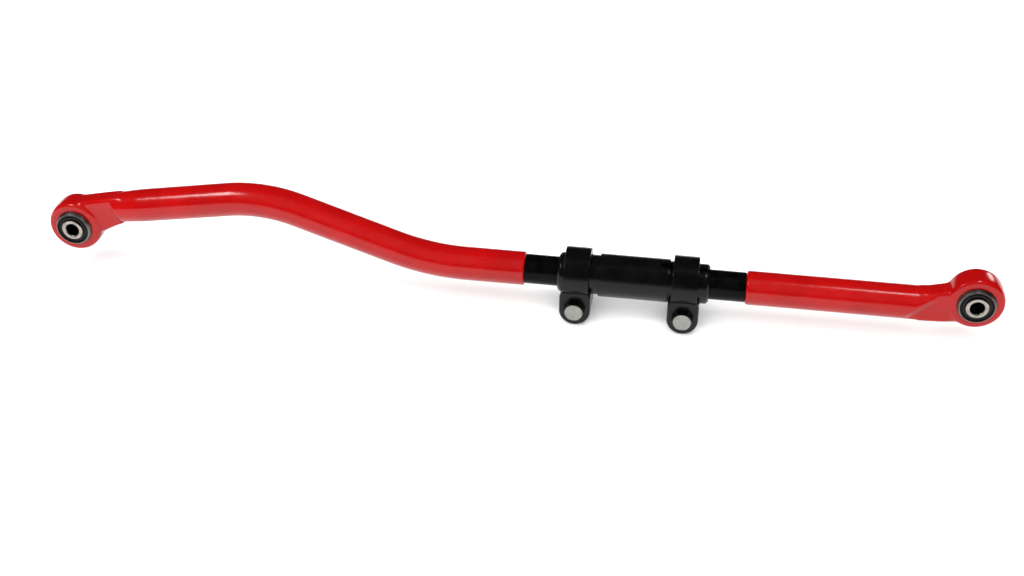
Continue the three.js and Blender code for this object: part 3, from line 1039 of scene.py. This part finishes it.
def makeNut(name, place):
    s = fastenerSizes
    low, high = s["nut"]
    nut = hexPiece(name, low, high, place, False, True)
    hole = turned(
        "nutHoleTool",
        [
            (s["nutHole"] + 1.8, low - 1), (s["nutHole"], low + 0.8),
            (s["nutHole"], high - 0.8), (s["nutHole"] + 1.8, high + 1),
        ],
        "Y", place, ring=False, steps=64,
    )
    cutAway(nut, hole)
    roundEdges(nut, s["edge"] * mm, 2, 25)
    return nut


fastenerMakers = {
    "clamp_bolt": ("clampBolt", makeBolt),
    "flat_washer": ("flatWasher", makeFlatWasher),
    "lock_washer": ("lockWasher", makeLockWasher),
    "clamp_nut": ("clampNut", makeNut),
}
for node, (pieceName, maker) in fastenerMakers.items():
    leftPiece = maker(pieceName + "Left", Vector((clampPlaces["left"], middleY, boltZ)))
    rightPiece = copyMoved(leftPiece, pieceName + "Right", clampStep)
    hand(leftPiece, "zinc_plate", "clamp_carriage", node + "_left", 25)
    hand(rightPiece, "zinc_plate", "clamp_carriage", node + "_right", 25)
print("fasteners made")

studio = {
    "floorSize": 40, "floorLevel": -0.0005, "floorColour": "#ffffff", "sunDistance": 3,
    "suns": {
        # strength, softness and height above the floor in degrees, and bearing from the front
        "frontSun": (2.6, 60, 50, -6),
        "skySun": (2.7, 170, 86, 0),
    },
    "panels": {
        # watts, size and place: these only make the highlights
        "leftGlint": (8.5, (0.4, 0.3), (-0.99, -0.5, 1.26)),
        "rightGlint": (2.2, (0.15, 0.22), (0.57, -0.21, 1.26)),
        "longGlint": (0.16, (1.5, 0.09), (0, -0.2, 1.26)),
        "backGlint": (2.4, (0.3, 0.3), (1.2, 1.25, 0.5)),
    },
    "worldColour": "#ffffff", "worldStrength": 0.025,
}
startFresh()
bpy.ops.mesh.primitive_plane_add(size=studio["floorSize"], location=(0, 0, studio["floorLevel"]))
floor = bpy.context.object
floor.name = "paleFloor"
floorPaint, _, floorShader, _ = newFinish("mattFloorPaint", Roughness=0.9)
floorShader.inputs["Base Color"].default_value = linear(studio["floorColour"])
floor.data.materials.append(floorPaint)


def addLight(name, kind, strength, place, aim=(0, 0, 0.05)):
    light = bpy.data.lights.new(name, kind)
    light.energy = strength
    lamp = bpy.data.objects.new(name, light)
    bpy.context.scene.collection.objects.link(lamp)
    lamp.location = place
    lamp.rotation_euler = (Vector(aim) - lamp.location).to_track_quat("-Z", "Y").to_euler()
    return lamp


for name, (strength, softness, height, bearing) in studio["suns"].items():
    height, bearing = math.radians(height), math.radians(bearing)
    place = studio["sunDistance"] * Vector((
        math.sin(bearing) * math.cos(height),
        -math.cos(bearing) * math.cos(height),
        math.sin(height),
    ))
    sun = addLight(name, "SUN", strength, place)
    sun.data.angle = math.radians(softness)
    sun.visible_glossy = False

for name, (watts, size, place) in studio["panels"].items():
    panel = addLight(name, "AREA", watts, place)
    panel.data.shape = "RECTANGLE"
    panel.data.size, panel.data.size_y = size

world = bpy.data.worlds.new("dimRoom")
world.use_nodes = True
world.node_tree.nodes["Background"].inputs["Color"].default_value = linear(studio["worldColour"])
world.node_tree.nodes["Background"].inputs["Strength"].default_value = studio["worldStrength"]
bpy.context.scene.world = world
bpy.context.scene.view_settings.view_transform = "Standard"

cameraSetup = {
    "lens": 52.18, "sensor": 36, "place": (0.19, -1.28065, 0.8742),
    "down": 33.49, "swing": 8.4, "roll": 0.4,
}
cameraData = bpy.data.cameras.new("viewCamera")
cameraData.lens = cameraSetup["lens"]
cameraData.sensor_width = cameraSetup["sensor"]
camera = bpy.data.objects.new("viewCamera", cameraData)
bpy.context.scene.collection.objects.link(camera)
camera.matrix_world = (
    Matrix.Translation(cameraSetup["place"])
    @ Matrix.Rotation(math.radians(cameraSetup["swing"]), 4, "Z")
    @ Matrix.Rotation(math.radians(90 - cameraSetup["down"]), 4, "X")
    @ Matrix.Rotation(math.radians(cameraSetup["roll"]), 4, "Z")
)
bpy.context.scene.camera = camera
print("studio ready")
